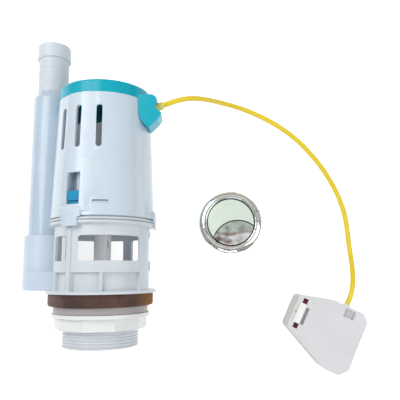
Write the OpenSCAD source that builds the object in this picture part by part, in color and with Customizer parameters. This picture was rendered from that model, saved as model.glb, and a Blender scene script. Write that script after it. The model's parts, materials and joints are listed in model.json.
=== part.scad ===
// Dual flush valve for a toilet cistern: the valve with its overflow tube lies on its back beside
// its push button and its lever box, and a flush cable runs from the cap to the box.
// X is to the right, Y runs up the valve from its sealing face, Z is up from the bench.
// The valve and its tubes are drawn upright, with Z as the valve's axis, and laid down by lay().

/* [Spigot and lock nut] */
// Crest radius of the threaded spigot
spigot_r = 29.8; // [26:0.1:34]
// Length of the spigot below the sealing face
spigot_len = 31.4; // [26:0.2:44]
// Distance from one thread crest to the next
thread_pitch = 2.309; // [1.8:0.001:3]
// Depth of the thread
thread_depth = 1.3; // [0.6:0.05:1.5]
// Wall of the spigot under the thread
spigot_wall = 3.1; // [2:0.1:4]
// Height of the sealing gasket
gasket_t = 9.6; // [6:0.1:12]
// Outer radius of the sealing gasket
gasket_r = 41.2; // [38:0.1:43]
// Height of the clamping washer
washer_t = 5.6; // [3:0.1:7]
// Outer radius of the clamping washer
washer_r = 37; // [34:0.5:41]
// Height of the lock nut's flange
nut_flange_t = 2.8; // [1.6:0.1:4]
// Outer radius of the lock nut's flange
nut_flange_r = 38.3; // [35:0.1:42]
// Height of the lock nut's flats
nut_h = 9.2; // [6:0.1:12]
// Radius of the lock nut over its corners
nut_corner_r = 36; // [34:0.1:38]
// Number of flats on the lock nut
nut_sides = 10; // [6:1:12]

/* [Lower body] */
// Outer radius of the flange over the gasket
flange_r = 43.5; // [42:0.1:48]
// Thickness of that flange
flange_t = 2.4; // [1.6:0.1:4]
// Outer radius of the seat cup
cup_r = 35; // [33:0.1:36]
// Height of the seat cup
cup_h = 13.6; // [11:0.1:16]
// Outer radius of the open basket
basket_r = 38; // [36.5:0.1:39]
// Wall of the open basket
basket_wall = 2.2; // [1.6:0.1:3]
// Height of the ring below the windows
ring_h = 8.6; // [5:0.1:12]
// Height of the basket's windows
window_h = 18.9; // [12:0.1:24]
// Rounding of the windows' corners
window_corner = 2; // [0.5:0.1:4]
// Height of the ring above the windows
upper_ring_h = 8.7; // [6:0.1:12]
// Height of the lip under the housing
lip_h = 4.7; // [3:0.1:7]
// Outer radius of that lip
lip_r = 41.8; // [41:0.1:43]
// Height of the collar that centres the housing
collar_h = 3.5; // [2:0.1:5]
// Height of the pads that the housing stands on
seam_h = 1.1; // [0.8:0.1:2]
// Radius of the opening inside the valve seat
seat_r = 26.2; // [24:0.1:27]
// Height of the valve seat over its shelf
seat_h = 3; // [2:0.1:4]
// Thickness of the shelf under the seat
shelf_t = 2; // [1.4:0.1:3]

/* [Housing and cap] */
// Outer radius of the housing at its top, and of the cap
top_r = 37.9; // [37:0.1:40]
// Step inward from the lip to the housing's foot
foot_inset = 0.25; // [0.1:0.05:0.4]
// Height of the housing
housing_h = 96.9; // [90:0.1:105]
// Wall of the housing
housing_wall = 2; // [1.4:0.1:2.6]
// Height of the cap over the housing
cap_h = 10.6; // [8:0.1:14]
// Thickness of the cap's top
cap_plate = 2; // [1.4:0.1:3]
// Width of a vent slot
slot_w = 4.6; // [3:0.1:6]
// Length of a vent slot
slot_len = 33.8; // [24:0.1:36]
// Width of the half-flush window
gauge_w = 11.3; // [9:0.1:14]
// Height of the half-flush window
gauge_h = 24.5; // [22:0.1:28]

/* [Piston and floats] */
// Outer radius of the piston's tube
tube_r = 6.9; // [6:0.1:8]
// Wall of the piston's tube
tube_wall = 1.6; // [1:0.1:2]
// Radius of the guiding stem under the piston
stem_r = 3; // [2.4:0.1:3.6]
// Radius of the piston's plate
plate_r = 28; // [26:0.1:29.5]
// Thickness of the piston's plate
plate_t = 2; // [1.4:0.1:3]
// Radius of the seal disc
seal_r = 30.5; // [29.5:0.1:31.4]
// Thickness of the seal disc
seal_t = 3; // [2:0.1:4]
// Radius of the retainer under the seal disc
retainer_r = 23.5; // [20:0.1:24.5]
// Lift of the piston over its seat
piston_lift = 12.7; // [10:0.1:13]
// Outer radius of the main float
float_r = 30; // [26:0.1:31]
// Height of the main float
float_h = 20; // [14:0.5:24]
// Wall of the floats
float_wall = 1.6; // [1.2:0.1:2.4]
// Radius of the half-flush float cup
half_float_r = 10; // [8:0.1:10.4]
// Height of the half-flush float cup
half_float_h = 34; // [26:0.5:38]
// Radius of the rod that carries the half-flush float
rod_r = 1.4; // [1.1:0.1:1.7]
// Height of the blue slider
slider_h = 9.9; // [8:0.1:11]

/* [Overflow] */
// Outer radius of the outer overflow tube
outer_tube_r = 16.1; // [15:0.1:17]
// Wall of the overflow tubes
overflow_wall = 2.1; // [1.6:0.1:2.4]
// Height of the outer tube's top over the sealing face
outer_tube_top = 185; // [150:1:190]
// Outer radius of the inner overflow tube
inner_tube_r = 13.1; // [12:0.1:13.3]
// Height of the inner tube's top over the sealing face
overflow_top = 230.5; // [215:0.5:240]
// Outer radius of the rim at the inner tube's top
rim_r = 14.5; // [13.6:0.1:16]
// Height of that rim
rim_h = 13; // [8:0.5:16]
// Outer radius of the socket that holds the outer tube
socket_r = 18.9; // [18.2:0.1:20]
// Number of level marks on the inner tube
mark_count = 7; // [3:1:9]
// Distance from one level mark to the next
mark_step = 4.63; // [3.5:0.01:5]

/* [Cable and lifting gear] */
// Direction of the cable lug round the valve, from the front
lug_az = 72; // [70:0.5:75]
// Distance of the rocker's pin from the valve's axis
pivot_x = 22; // [21:0.1:23]
// Lever arm from the rocker's pin up to the inner cable
wire_arm = 8; // [7:0.1:9]
// Turn of the levers and of the rocker in a full flush
lever_turn = 30; // [20:1:32]
// Radius of the rocker's pin
rocker_pin_r = 1.8; // [1.4:0.1:2]
// Radius of the inner cable
wire_r = 0.6; // [0.4:0.05:0.8]
// Radius of the cable's yellow sheath
sheath_r = 2.2; // [1.8:0.1:2.8]
// Radius of the ferrule and of the bush that hold the sheath
ferrule_r = 3.2; // [2.8:0.1:3.6]
// Length of the ferrule
ferrule_len = 10; // [8:0.5:11]

/* [Lever box] */
// Height of the case below its cover
case_h = 24; // [22:0.1:26]
// Thickness of the cover
cover_t = 2.5; // [2:0.1:3.5]
// Wall of the case
case_wall = 1.6; // [1.2:0.1:2.2]
// Floor of the case
case_floor = 2; // [1.4:0.1:3]
// Rounding of the case's corners
case_corner = 3.5; // [2:0.1:5]
// Distance from the middle of the box to each lever
lever_v = 10.9; // [10:0.1:11.4]
// Width of a lever
lever_w = 3.6; // [3.2:0.1:4]
// Side of the square holes over the levers
finger_hole = 4.2; // [3.6:0.1:5]
// Height of the levers' pin over the bench
lever_pin_w = 11.5; // [11:0.1:12.5]
// Radius of the levers' pin
lever_pin_r = 1.5; // [1.2:0.1:1.8]

/* [Push button] */
// Radius of the chrome bezel
bezel_r = 28.3; // [26.5:0.1:30]
// Height of the button over the bench
button_h = 24; // [23:0.1:27]
// Height of the threaded barrel below the bezel
barrel_h = 14; // [13.5:0.1:16]
// Outer radius of the threaded barrel
barrel_r = 19; // [18.6:0.1:20]
// Wall of the threaded barrel
barrel_wall = 2.2; // [1.8:0.1:2.6]
// Radius of the pushes together
push_r = 20.6; // [20:0.1:20.7]
// Travel of a push
push_travel = 3.5; // [2.5:0.1:3.8]
// Radius of the push springs at the middle of the wire
spring_r = 4.6; // [4:0.1:5]
// Radius of the springs' wire
spring_wire = 0.5; // [0.35:0.05:0.6]
// Turns of a push spring
spring_turns = 5; // [4:1:7]

/* [Clearances] */
// Gap round a part that turns or slides
run_gap = 0.25; // [0.2:0.05:0.4]
// Gap round a part that is fitted and stays
fit_gap = 0.1; // [0.05:0.05:0.2]
// Gap between moving walls that only pass each other
pass_gap = 0.4; // [0.3:0.05:0.6]

/* [Hidden] */
$fn = 72;
eps = 0.05;

white = "#eef0f2";
pale_blue = "#dce8f0";
turquoise = "#2ab0c8";
blue = "#2a9fd0";
brown = "#56433f";
red = "#8c2232";
yellow = "#ecd63a";

// Heights up the valve, over the sealing face
flange_z = gasket_t;
cup_z = flange_z + flange_t;
ring_z = cup_z + cup_h;
window_z = ring_z + ring_h;
window_top = window_z + window_h;
lip_z = window_top + upper_ring_h;
lip_top = lip_z + lip_h;
housing_z = lip_top + seam_h;
cap_z = housing_z + housing_h;
cap_top = cap_z + cap_h;

// Radii that follow from the walls
spigot_root = spigot_r - thread_depth;
outlet_r = spigot_root - spigot_wall;
foot_r = lip_r - foot_inset;
thread_top = -0.8;
thread_turns = floor((spigot_len + thread_top) / thread_pitch);
basket_in = basket_r - basket_wall;
chamber_r = cup_r - 2.4;
collar_in = basket_in + 1.1;
collar_r = foot_r - housing_wall - 0.55;
function housing_r(z) = foot_r - (foot_r - top_r) * (z - housing_z) / housing_h;

// Valve seat, shelf and piston
seat_top = ring_z + 1.9;
shelf_z = seat_top - seat_h;
seat_lip = 2;
chamber_top = shelf_z - shelf_t;
seat_gap = 0.2;
seal_z = seat_top + seat_gap;
piston_z = seal_z + seal_t;
guide_low = -4;
guide_top = 6;
stem_z = -8;
outlet_step = 0.8;
outlet_step_z = stem_z - 1.6;
guide_r = 6;

// Lifting gear, with x outward along the lug's direction and y across it
wire_z = cap_z - 5.1;
pivot_z = wire_z - wire_arm;
collar_gap = 1.2;
prong_drop = 7.4;
prong_t = 3;
collar_z = pivot_z - prong_drop + collar_gap;
lift_collar_t = 2.5;
lift_collar_r = 10;
piston_top = collar_z + 4.8;
prong_y = [tube_r + 0.7, tube_r + 2.9];
fork_gap = 1.0;
fork_w = 3.2;
barrel_end_r = 1.4;
barrel_end_w = 5;
lift_play = 0.9;
pull_play = 0.75;
hub_r = 3.4;
hub_y = 4.6;
ear_y = [hub_y + 0.3, hub_y + 3.3];
ear_x = 3.5;

// Housing: slots, tongues, guide ring and cable lug
slot_z = housing_z + 52.6;
front_slots = [-44.5, -20.2, 3.8];
hook_azimuths = [7.3, 127.3, 247.3];
tongue_azimuths = [-25, 92, 178];
tongue_low = lip_z - 2.1;
tongue_w = [18.8, 14.1];
tongue_t = 1.45;
guide_ring_z = 122;
lug_front = -23.5;
lug_back = -5;
lug_x = top_r;
bite_r = 7;

// Floats
float_z = 70;
snap_z = float_z - 2;
half_float_x = 21.5;
half_float_az = -22;
half_float_z = 108;

// Window for the half-flush slider
gauge_az = -22.2;
gauge_z = housing_z + 8.4;
rod_az = -21.6;
rod_x = 34.8;
boss_r = 1.7;
slider_z = gauge_z + 0.3;
slider_w = gauge_w - 0.7;

// Overflow tube beside the housing
overflow_y = flange_r - socket_r;
overflow_x = -sqrt(pow(foot_r + 0.5 + outer_tube_r, 2) - pow(overflow_y, 2));
overflow_az = -90 - atan2(overflow_y, -overflow_x);
outer_tube_in = outer_tube_r - overflow_wall;
outer_tube_z = 30;
socket_top = window_top + 3.9;
socket_z = flange_z + 1.6;
inner_tube_z = 130;
elbow_h = 14.8;
passage_w = 22;
passage_h = 8;
overflow_d = sqrt(pow(overflow_x, 2) + pow(overflow_y, 2));
rim_z = overflow_top - rim_h;

// Lever box: u along the box, v across it and w up from the bench
bench_z = -flange_r;
box_place = [158.3, -7.05];
box_turn = -25.5;
lever_x = 22;
box_wire_w = lever_pin_w + wire_arm;
finger_x = 6.2;
wire_bend_r = 4;
bush_u = 41;
bush_v = 22;
bush_len = 6.5;
bush_out = 1.5;

// Push button
button_place = [107, 68];
push_top = 23;
push_split = [5.8, -20.9];
push_split_r = 22.4;
push_skirt = 3.5;
push_low = push_top - push_skirt;
spring_low = 5;
full_stem = [-2.7, 9.6];
half_stem = [2.7, -9.6];
stem_low = 4;
stem_hole_z = [3, 5];
push_stem_r = 3;
button_nut_z = 4;
button_nut_h = 5.3;
button_nut_r = barrel_r + 5;
button_washer_t = 1.5;
button_washer_r = button_nut_r + 1;

// Route of the cable's middle line on the bench, from the ferrule to the bush
cable_points = [[50, 161.5, 14], [59.4, 164.9, 14], [68.5, 168, 11.5], [77, 170.7, 5.5],
    [85, 172.8, -2.5], [93, 174.5, -11], [101.5, 175.6, -19.5], [111, 175.8, -27],
    [121, 174.8, -33], [132, 172, -37.5], [143, 167.6, -40.3], [154, 161.5, -41.3],
    [165, 153.5, -41.3], [175, 144.5, -41.3], [184, 134.5, -41.3], [192, 124, -41.3],
    [199, 113, -41.3], [205, 101.5, -41.3], [210, 89, -41.3], [213.4, 76, -41.3],
    [215, 63, -41.3], [215.6, 50.5, -40.8], [215.7, 38.5, -38], [214.9, 27.5, -33],
    [213, 16.5, -27.6], [209.7, 5.5, -24.3], [205.4, -3.5, -24]];
ferrule_tilt = 20;

// Lays the upright valve down on the bench, with its front up
module lay() { rotate([-90, 0, 0]) children(); }

// Turns the front of the valve round to a direction, counted from the front towards +X
module at_az(az) { rotate([0, 0, az]) children(); }

// Turns +X outward to the cable lug
module toward_lug() { rotate([0, 0, lug_az - 90]) children(); }

// Block bent round the valve's axis, between two radii, two heights and two directions
module arc_block(r_in, r_out, z0, z1, a0, a1) {
    rotate([0, 0, a0 - 90]) rotate_extrude(angle = a1 - a0)
        translate([r_in, z0]) square([r_out - r_in, z1 - z0]);
}

// Rectangle with round corners, standing on the X axis
module rounded_plate(w, h, corner) {
    offset(r = corner, $fn = 24) offset(delta = -corner) translate([-w / 2, 0]) square([w, h]);
}

// Straight cutter with round corners, pushed outward through the wall
module wall_cutter(az, w, z0, z1, from, to, corner) {
    at_az(az) translate([0, -from, z0]) rotate([90, 0, 0])
        linear_extrude(to - from) rounded_plate(w, z1 - z0, corner);
}

// Points of a thread drawn as rings, from its lower end up
function thread_profile(crest, root, z0, pitch, turns) = [for (i = [0:turns - 1])
    for (p = [[root, 0], [crest, 0.25], [crest, 0.5], [root, 0.75]])
        [p[0], z0 + (i + p[1]) * pitch]];

module base_outline() {
    polygon(concat([[0, -spigot_len]],
        thread_profile(spigot_r, spigot_root, -spigot_len, thread_pitch, thread_turns),
        [[spigot_root, thread_top - 0.5], [spigot_r, thread_top], [spigot_r, flange_z],
        [flange_r, flange_z], [flange_r, cup_z - 0.6], [flange_r - 0.6, cup_z], [cup_r, cup_z],
        [cup_r, ring_z], [basket_r, ring_z], [basket_r, lip_z], [lip_r - 0.5, lip_z],
        [lip_r, lip_z + 0.5], [lip_r, lip_top - 0.5], [lip_r - 0.5, lip_top],
        [collar_r, lip_top], [collar_r, lip_top + collar_h], [0, lip_top + collar_h]]));
}

module base_hollow() {
    polygon([[0, -spigot_len - 1], [outlet_r, -spigot_len - 1], [outlet_r, outlet_step_z],
        [outlet_r - outlet_step, outlet_step_z + outlet_step], [outlet_r - outlet_step, cup_z],
        [chamber_r, cup_z], [chamber_r, chamber_top], [seat_r, chamber_top],
        [seat_r, seat_top - 0.4], [seat_r + 0.4, seat_top], [seat_r + seat_lip - 0.4, seat_top],
        [seat_r + seat_lip, seat_top - 0.4], [seat_r + seat_lip, shelf_z], [chamber_r, shelf_z],
        [chamber_r, ring_z + 0.4], [basket_in, ring_z + 2.4], [basket_in, lip_z],
        [collar_in, lip_z + 1.2], [collar_in, lip_top + collar_h + 1],
        [0, lip_top + collar_h + 1]]);
}

// Directions and widths of the basket's windows, in degrees round the valve
basket_windows = [[20.1, 77], [-46.4, 26.3], [-145.8, 26.3], [174.2, 26.3], [134.1, 26.3], [94, 26]];

module basket_openings() {
    for (w = basket_windows)
        wall_cutter(w[0], 2 * (basket_r - basket_wall / 2) * sin(w[1] / 2), window_z, window_top,
            basket_in * cos(w[1] / 2) - 8, basket_r + 6, window_corner);
    at_az(65.7) translate([-1.2, -lip_r - 1, lip_z + 1]) cube([2.4, 2.3, 2.2]);
}

// Directions, widths and tops of the ribs that stand on the flange
basket_ribs = [[-59.9, 5.4, ring_z + 1], [9.7, 3.8, ring_z + 1], [130, 5, ring_z + 1],
    [165, 5, ring_z + 1], [-150, 5, ring_z + 1]];
rail_azimuths = [-42, 78, 198];

module basket_ribs_and_columns() {
    for (r = basket_ribs)
        arc_block(cup_r - 0.6, basket_r - 0.3, cup_z - 0.3, r[2], r[0] - r[1] / 2, r[0] + r[1] / 2);
    arc_block(cup_r - 0.6, basket_r + 1.3, cup_z - 0.3, lip_z - 3.3, -31.3, -25.6);
    arc_block(cup_r - 0.6, basket_r + 0.6, cup_z - 0.3, lip_z + 0.8, 59.2, 82.5);
    arc_block(cup_r - 0.6, basket_r + 0.9, cup_z + 14.5, cup_z + 22.3, 86, 91);
    arc_block(cup_r - 0.6, basket_r + 0.9, window_top - 3.6, window_top + 4.4, 86, 91);
}

// Rails inside the basket that keep the float in the middle
module float_rails() {
    for (a = rail_azimuths)
        arc_block(basket_in - 1.9, basket_in + 0.5, ring_z + 3, lip_z - 1, a - 4, a + 4);
}

// Socket of the overflow tube, with the box of its elbow and the web to the basket
module overflow_socket() {
    translate([overflow_x, overflow_y, 0]) rotate_extrude()
        polygon([[0, socket_z], [socket_r - 2, socket_z], [socket_r, socket_z + 2],
            [socket_r, socket_top - 0.5], [socket_r - 0.5, socket_top], [0, socket_top]]);
    translate([0, 0, socket_z + 0.4]) linear_extrude(elbow_h)
        offset(r = 3, $fn = 24) offset(delta = -3)
        polygon([[-30, overflow_y - 20.1], [-63, overflow_y - 20.1], [-63, overflow_y + 18.4],
            [-30, overflow_y + 18.4]]);
    arc_block(basket_in + 0.5, basket_r + 4, ring_z - 1.2, socket_top - 3,
        overflow_az - 8, overflow_az + 8);
}

module overflow_passages() {
    translate([overflow_x, overflow_y, 0]) {
        translate([0, 0, outer_tube_z]) cylinder(r = outer_tube_r + fit_gap * 2, h = 60);
        translate([0, 0, socket_z + 2.3]) cylinder(r = outer_tube_in, h = outer_tube_z);
    }
    at_az(overflow_az) translate([-passage_w / 2, -overflow_d, cup_z + 2])
        cube([passage_w, overflow_d - chamber_r + 4, passage_h]);
}

module guide_spider() {
    difference() {
        union() {
            translate([0, 0, guide_low]) cylinder(r = guide_r, h = guide_top - guide_low, $fn = 36);
            for (a = [45:90:315]) rotate([0, 0, a]) translate([guide_r - 1, -1, guide_low + 0.5])
                cube([outlet_r - guide_r + 1.5, 2, 7]);
        }
        translate([0, 0, guide_low - 1])
            cylinder(r = stem_r + run_gap, h = guide_top - guide_low + 2, $fn = 36);
    }
}

// Threaded spigot, flange, valve seat, open basket and overflow socket, moulded as one
module base_basket() {
    color(white) lay() {
        difference() {
            union() {
                rotate_extrude() base_outline();
                basket_ribs_and_columns();
                overflow_socket();
                for (a = tongue_azimuths)
                    arc_block(collar_r - 0.3, lip_r - 0.9, lip_top - 0.3, housing_z, a - 9.5, a + 9.5);
            }
            rotate_extrude() base_hollow();
            basket_openings();
            overflow_passages();
        }
        guide_spider();
        float_rails();
    }
}

module sealing_gasket() {
    color(brown) lay() rotate_extrude() polygon([[spigot_r + 0.3, 0], [gasket_r - 1.6, 0],
        [gasket_r - 0.4, 0.5], [gasket_r, 1.8], [gasket_r, gasket_t - 0.3],
        [gasket_r - 0.3, gasket_t], [spigot_r + 0.3, gasket_t]]);
}

module clamp_washer() {
    color(white) lay() rotate_extrude() polygon([[spigot_r + 0.3, -washer_t],
        [washer_r - 0.4, -washer_t], [washer_r, -washer_t + 0.4], [washer_r, -0.4],
        [washer_r - 0.4, 0], [spigot_r + 0.3, 0]]);
}

module lock_nut() {
    nut_z = -washer_t - nut_flange_t;
    color(white) lay() difference() {
        union() {
            translate([0, 0, nut_z]) cylinder(r = nut_flange_r, h = nut_flange_t);
            translate([0, 0, nut_z - nut_h]) rotate([0, 0, 9])
                cylinder(r = nut_corner_r, h = nut_h + eps, $fn = nut_sides);
        }
        translate([0, 0, nut_z - nut_h - 1])
            cylinder(r = spigot_r + run_gap, h = nut_h + nut_flange_t + 2);
    }
}

// Raised panel on the housing's cone, between two heights and two directions
module cone_panel(proud, z0, z1, a0, a1) {
    rotate([0, 0, a0 - 90]) rotate_extrude(angle = a1 - a0)
        polygon([[housing_r(z0) - 1, z0], [housing_r(z0) + proud, z0],
            [housing_r(z1) + proud, z1], [housing_r(z1) - 1, z1]]);
}

// Tongue that hangs from the housing's foot over the lip, wider above than below
module housing_tongue(a) {
    tongue_in = lip_r + 0.35;
    tongue_top = housing_z + 6.4;
    at_az(a) intersection() {
        rotate_extrude() polygon([[tongue_in, tongue_low], [tongue_in + tongue_t, tongue_low],
            [tongue_in + tongue_t, tongue_top - 1], [tongue_in + tongue_t - 0.8, tongue_top],
            [foot_r - 1.3, tongue_top], [foot_r - 1, housing_z + 0.4], [tongue_in, housing_z + 0.4]]);
        translate([0, -foot_r + 12, 0]) rotate([90, 0, 0]) linear_extrude(20)
            polygon([[-tongue_w[1] / 2, 0], [tongue_w[1] / 2, 0], [tongue_w[1] / 2, lip_top - 0.3],
                [tongue_w[0] / 2, lip_top + 0.4], [tongue_w[0] / 2, cap_z], [-tongue_w[0] / 2, cap_z],
                [-tongue_w[0] / 2, lip_top + 0.4], [-tongue_w[1] / 2, lip_top - 0.3]]);
    }
}

module rod_boss(z, h) {
    at_az(rod_az) difference() {
        translate([-3, -housing_r(z + h) + 0.8, z]) cube([6, housing_r(z + h) - rod_x + 1.4, h]);
        translate([0, -rod_x, z - 1]) cylinder(r = boss_r, h = h + 2, $fn = 24);
    }
}

// Ring inside the housing that keeps the piston's tube upright
module tube_guide() {
    difference() {
        union() {
            translate([0, 0, guide_ring_z]) cylinder(r = tube_r + 2.6, h = 5, $fn = 48);
            for (a = [60, 150, -100]) at_az(a)
                translate([-1.5, -housing_r(guide_ring_z) + 1, guide_ring_z + 0.5])
                    cube([3, housing_r(guide_ring_z) - tube_r - 2.5, 4]);
        }
        translate([0, 0, guide_ring_z - 1]) cylinder(r = tube_r + 0.3, h = 7, $fn = 48);
    }
}

module upper_housing() {
    color(pale_blue) lay() {
        difference() {
            union() {
                rotate_extrude() polygon([[foot_r - housing_wall, housing_z],
                    [foot_r, housing_z], [top_r, cap_z], [top_r - housing_wall, cap_z]]);
                cone_panel(0.8, housing_z + 43.9, cap_z, -36, -12);
                cone_panel(1.2, housing_z + 3, housing_z + 44.4, -38, -10);
                for (a = tongue_azimuths) housing_tongue(a);
            }
            for (a = front_slots) {
                wall_cutter(a, slot_w, slot_z, slot_z + slot_len, top_r - 8, foot_r + 4, 2);
                wall_cutter(164.2 - a, slot_w, slot_z, slot_z + slot_len, top_r - 8, foot_r + 4, 2);
            }
            wall_cutter(gauge_az, gauge_w, gauge_z, gauge_z + gauge_h, top_r - 8, foot_r + 6, 0.6);
            for (a = hook_azimuths) at_az(a) translate([0, -foot_r - 2, housing_z + 8.8])
                rotate([-90, 0, 0]) linear_extrude(6)
                    polygon([[-6.5, 0], [6.5, 0], [5.5, -2.7], [-5.5, -2.7]]);
            toward_lug() translate([top_r - 6, -2.5, wire_z - 3]) cube([10, 5, 20]);
        }
        rod_boss(housing_z + 3, 2.8);
        rod_boss(housing_z + 36.4, 3);
        tube_guide();
    }
}

// Outline of the cable lug, seen from the front
module cable_lug() {
    difference() {
        translate([0, lug_back, 0]) rotate([90, 0, 0]) linear_extrude(lug_back - lug_front)
            offset(r = 1.5, $fn = 24) offset(delta = -1.5)
                polygon([[lug_x - 8.9, cap_z - 11], [lug_x - 8.9, cap_z + 3], [lug_x + 4.1, cap_z + 3],
                    [lug_x + 6.7, cap_z + 1], [lug_x + 8.6, cap_z - 3.5], [lug_x + 11.2, cap_z - 13],
                    [lug_x + 8.6, cap_z - 17.5], [lug_x + 1.1, cap_z - 24.8], [lug_x - 4.4, cap_z - 19.5]]);
        rotate_extrude() polygon([[0, cap_z - 40], [housing_r(cap_z - 40) + 0.35, cap_z - 40],
            [top_r + 0.35, cap_z], [0, cap_z]]);
        cylinder(r = top_r - 3.9, h = cap_top - cap_plate);
        translate([lug_x + 13.3, 0, cap_z - 5.2]) rotate([90, 0, 0]) cylinder(r = bite_r, h = 60);
    }
}

module ferrule_frame() {
    translate([cable_points[0][0], -cable_points[0][2], cable_points[0][1]])
        rotate([0, 90 - ferrule_tilt, 0]) children();
}

module top_cap() {
    plug_r = top_r - housing_wall - 0.2;
    plug_in = plug_r - 1.7;
    color(turquoise) lay() difference() {
        union() {
            rotate_extrude() polygon([[plug_in, cap_z - 8], [plug_r, cap_z - 8], [plug_r, cap_z],
                [top_r, cap_z], [top_r, cap_top - 1.6], [top_r - 0.5, cap_top - 0.5],
                [top_r - 1.6, cap_top], [0, cap_top], [0, cap_top - cap_plate],
                [plug_in, cap_top - cap_plate]]);
            cable_lug();
            toward_lug() for (s = [-1, 1])
                translate([pivot_x - ear_x, s > 0 ? ear_y[0] : -ear_y[1], pivot_z - ear_x])
                    cube([2 * ear_x, ear_y[1] - ear_y[0], cap_top - cap_plate - pivot_z + ear_x + eps]);
        }
        toward_lug() {
            translate([pivot_x, -ear_y[1] - 1, pivot_z]) rotate([-90, 0, 0])
                cylinder(r = rocker_pin_r + eps, h = 2 * ear_y[1] + 2, $fn = 24);
            translate([top_r - 10, 0, wire_z]) rotate([0, 90, 0]) cylinder(r = 1.6, h = 15, $fn = 24);
        }
        ferrule_frame() translate([0, 0, -ferrule_len])
            cylinder(r = ferrule_r + eps, h = ferrule_len + 8, $fn = 36);
    }
}

module rocker_pin() {
    color("silver") lay() toward_lug() translate([pivot_x, -ear_y[1], pivot_z])
        rotate([-90, 0, 0]) cylinder(r = rocker_pin_r, h = 2 * ear_y[1], $fn = 24);
}

// Bar across the rocker between two points of its side view
module rocker_bar(x0, x1, z0, z1, y0, y1) {
    translate([x0, y0, z0]) cube([x1 - x0, y1 - y0, z1 - z0]);
}

module lift_rocker() {
    prong_low = -prong_drop - prong_t;
    prong_x = [-pivot_x - 1.5, -6.5];
    color(white) lay() toward_lug() translate([pivot_x, 0, pivot_z]) difference() {
        union() {
            translate([0, -hub_y, 0]) rotate([-90, 0, 0]) cylinder(r = hub_r, h = 2 * hub_y, $fn = 36);
            rocker_bar(-fork_w / 2, fork_w / 2, 0, wire_arm + 2.2, -3, 3);
            translate([0, hub_y, 0]) rotate([90, 0, 0]) linear_extrude(2 * hub_y)
                polygon([[-3, 2], [-9, -prong_drop], [-9, prong_low], [-6, prong_low], [3, -2]]);
            rocker_bar(-9, prong_x[1], prong_low, -prong_drop, -prong_y[1], prong_y[1]);
            rocker_bar(prong_x[0], prong_x[1], prong_low, -prong_drop, prong_y[0], prong_y[1]);
            rocker_bar(prong_x[0], prong_x[1], prong_low, -prong_drop, -prong_y[1], -prong_y[0]);
        }
        translate([0, -hub_y - 1, 0]) rotate([-90, 0, 0])
            cylinder(r = rocker_pin_r + 0.1, h = 2 * hub_y + 2, $fn = 24);
        translate([-5, -fork_gap, wire_arm - 3]) cube([10, 2 * fork_gap, 10]);
    }
}

// End of the inner cable: a cross barrel that the fork pulls, and the wire behind it
module wire_end(len) {
    translate([0, -barrel_end_w / 2, 0]) rotate([-90, 0, 0])
        cylinder(r = barrel_end_r, h = barrel_end_w, $fn = 24);
    rotate([0, 90, 0]) cylinder(r = wire_r, h = len, $fn = 18);
}

module lift_wire() {
    color("silver") lay() toward_lug()
        translate([pivot_x - fork_w / 2 - barrel_end_r - lift_play, 0, wire_z]) wire_end(18.4);
}

module piston_tube() {
    bore = tube_r - tube_wall;
    color(white) lay() difference() {
        rotate_extrude() polygon([[0, stem_z], [stem_r - 0.6, stem_z], [stem_r, stem_z + 0.6],
            [stem_r, piston_z], [plate_r, piston_z], [plate_r, piston_z + plate_t],
            [tube_r + 2.4, piston_z + plate_t], [tube_r, piston_z + plate_t + 2.4],
            [tube_r, snap_z], [tube_r + 1.5, snap_z], [tube_r + 1.5, snap_z + 1.9],
            [tube_r, snap_z + 1.9], [tube_r, collar_z], [lift_collar_r, collar_z],
            [lift_collar_r, collar_z + lift_collar_t], [tube_r, collar_z + lift_collar_t],
            [tube_r, piston_top], [bore, piston_top], [bore, piston_z + plate_t + 3],
            [0, piston_z + plate_t + 3]]);
        wall_cutter(50, 2.2, window_top - 7.7, window_top - 2.2, bore - 1, tube_r + 3, 0.3);
    }
}

module seal_disc() {
    color("#303438") lay() difference() {
        translate([0, 0, seal_z]) cylinder(r = seal_r, h = seal_t);
        translate([0, 0, seal_z - 1]) cylinder(r = stem_r + eps, h = seal_t + 2, $fn = 36);
    }
}

module seal_retainer() {
    color(white) lay() difference() {
        translate([0, 0, seal_z - seal_t]) cylinder(r = retainer_r, h = seal_t);
        translate([0, 0, seal_z - seal_t - 1]) cylinder(r = stem_r + eps, h = seal_t + 2, $fn = 36);
    }
}

// Cup that is open below and traps air
module main_float() {
    hub_in = tube_r + fit_gap;
    color(white) lay() rotate_extrude() polygon([[hub_in, float_z], [hub_in + float_wall, float_z],
        [hub_in + float_wall, float_z + float_h - float_wall],
        [float_r - float_wall, float_z + float_h - float_wall], [float_r - float_wall, float_z],
        [float_r, float_z], [float_r, float_z + float_h - 1], [float_r - 1, float_z + float_h],
        [hub_in, float_z + float_h]]);
}

// Cup beside the piston's tube, with the arm that its rod is pressed into
module half_float() {
    color(white) lay() at_az(half_float_az) difference() {
        union() {
            translate([0, -half_float_x, half_float_z])
                cylinder(r = half_float_r, h = half_float_h, $fn = 48);
            translate([-2.5, -rod_x - 1.9, half_float_z + 2])
                cube([5, rod_x + 1.9 - half_float_x, 4]);
        }
        translate([0, -half_float_x, half_float_z + float_wall])
            cylinder(r = half_float_r - float_wall, h = half_float_h, $fn = 48);
        rotate([0, 0, rod_az - half_float_az]) translate([0, -rod_x, half_float_z - 1])
            cylinder(r = rod_r + eps, h = 10, $fn = 24);
    }
}

module adjuster_rod() {
    rod_low = lip_z + 2.2;
    color(white) lay() at_az(rod_az) translate([0, -rod_x, rod_low])
        cylinder(r = rod_r, h = half_float_z + 8 - rod_low, $fn = 24);
}

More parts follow.
